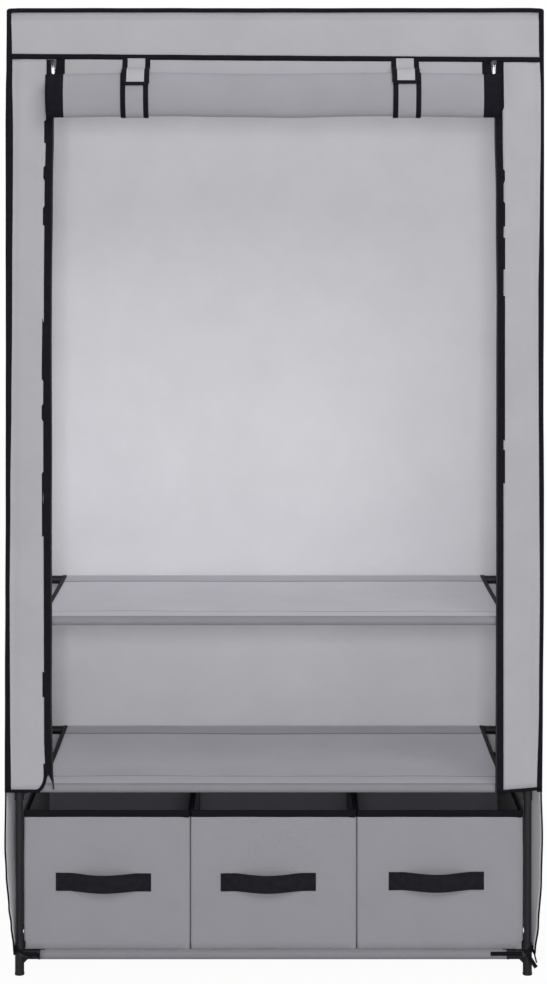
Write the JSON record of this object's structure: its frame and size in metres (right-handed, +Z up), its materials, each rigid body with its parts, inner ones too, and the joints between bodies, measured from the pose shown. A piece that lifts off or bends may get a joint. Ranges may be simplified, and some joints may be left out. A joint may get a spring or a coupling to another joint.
{
  "type": "fabric wardrobe",
  "caption": "Free-standing fabric wardrobe: tube frame, bound cloth cover with rolled front door and zips, cloth shelves, hanging rail and pull-out storage boxes.",
  "frame": {"origin": "on the floor, under the middle of the whole object's width and depth", "axes": "+Z up, the front with the door and the storage boxes faces -Y, +X to the right seen from the front"},
  "size_m": [0.872, 0.5314, 1.5798],
  "materials": {
    "enamelled_tube": "black powder enamel on steel tube",
    "moulded_connectors": "moulded black polypropylene",
    "cover_cloth": "light grey point-bonded non-woven",
    "shelf_cloth": "grey point-bonded non-woven",
    "box_cloth": "grey non-woven over board, charcoal lining",
    "bound_edges": "black folded binding tape",
    "zip_tape": "black woven tape with a coil chain",
    "handle_webbing": "black woven webbing",
    "plated_zinc": "nickel plated die casting"
  },
  "bodies": {
    "wardrobe": {"connector_bottom_front_left": "moulded_connectors", "connector_bottom_front_right": "moulded_connectors", "connector_bottom_rear_left": "moulded_connectors", "connector_bottom_rear_right": "moulded_connectors", "connector_lower_front_left": "moulded_connectors", "connector_lower_front_right": "moulded_connectors", "connector_lower_rear_left": "moulded_connectors", "connector_lower_rear_right": "moulded_connectors", "connector_upper_front_left": "moulded_connectors", "connector_upper_front_right": "moulded_connectors", "connector_upper_rear_left": "moulded_connectors", "connector_upper_rear_right": "moulded_connectors", "connector_top_front_left": "moulded_connectors", "connector_top_front_right": "moulded_connectors", "connector_top_rear_left": "moulded_connectors", "connector_top_rear_right": "moulded_connectors", "post_front_left": "enamelled_tube", "post_front_right": "enamelled_tube", "post_rear_left": "enamelled_tube", "post_rear_right": "enamelled_tube", "cross_tube_bottom_front": "enamelled_tube", "cross_tube_bottom_rear": "enamelled_tube", "cross_tube_lower_front": "enamelled_tube", "cross_tube_lower_rear": "enamelled_tube", "cross_tube_upper_front": "enamelled_tube", "cross_tube_upper_rear": "enamelled_tube", "cross_tube_top_front": "enamelled_tube", "cross_tube_top_rear": "enamelled_tube", "side_tube_bottom_left": "enamelled_tube", "side_tube_bottom_right": "enamelled_tube", "side_tube_lower_left": "enamelled_tube", "side_tube_lower_right": "enamelled_tube", "side_tube_upper_left": "enamelled_tube", "side_tube_upper_right": "enamelled_tube", "side_tube_top_left": "enamelled_tube", "side_tube_top_right": "enamelled_tube", "hanging_rail": "enamelled_tube", "cover_cap": "cover_cloth", "cover_side_left": "cover_cloth", "cover_side_right": "cover_cloth", "cover_back": "cover_cloth", "cover_binding": "bound_edges", "rolled_door": "cover_cloth", "door_tie_left": "bound_edges", "door_tie_right": "bound_edges", "zip_tape_left": "zip_tape", "zip_tape_right": "zip_tape", "shelf_bottom": "shelf_cloth", "shelf_lower": "shelf_cloth", "shelf_upper": "shelf_cloth"},
    "box_left": {"storage_box_left": "box_cloth", "box_handle_left": "handle_webbing"},
    "box_centre": {"storage_box_centre": "box_cloth", "box_handle_centre": "handle_webbing"},
    "box_right": {"storage_box_right": "box_cloth", "box_handle_right": "handle_webbing"},
    "slider_left": {"zip_slider_left": "plated_zinc"},
    "pull_left": {"zip_pull_left": "plated_zinc"},
    "slider_right": {"zip_slider_right": "plated_zinc"},
    "pull_right": {"zip_pull_right": "plated_zinc"}
  },
  "joints": [
    {"name": "box_left_slide", "type": "slide", "parent": "wardrobe", "child": "box_left", "axis": [0, -1, 0], "range_m": [0, 0.42]},
    {"name": "box_centre_slide", "type": "slide", "parent": "wardrobe", "child": "box_centre", "axis": [0, -1, 0], "range_m": [0, 0.42]},
    {"name": "box_right_slide", "type": "slide", "parent": "wardrobe", "child": "box_right", "axis": [0, -1, 0], "range_m": [0, 0.42]},
    {"name": "zip_left_slide", "type": "slide", "parent": "wardrobe", "child": "slider_left", "axis": [0, 0, -1], "range_m": [0, 1.175]},
    {"name": "pull_left_swing", "type": "hinge", "parent": "slider_left", "child": "pull_left", "pos_m": [-0.3575, -0.2254, 1.4869], "axis": [-1, 0, 0], "range_deg": [0, 125]},
    {"name": "zip_right_slide", "type": "slide", "parent": "wardrobe", "child": "slider_right", "axis": [0, 0, -1], "range_m": [0, 1.175]},
    {"name": "pull_right_swing", "type": "hinge", "parent": "slider_right", "child": "pull_right", "pos_m": [0.3575, -0.2254, 1.4869], "axis": [-1, 0, 0], "range_deg": [0, 125]}
  ]
}
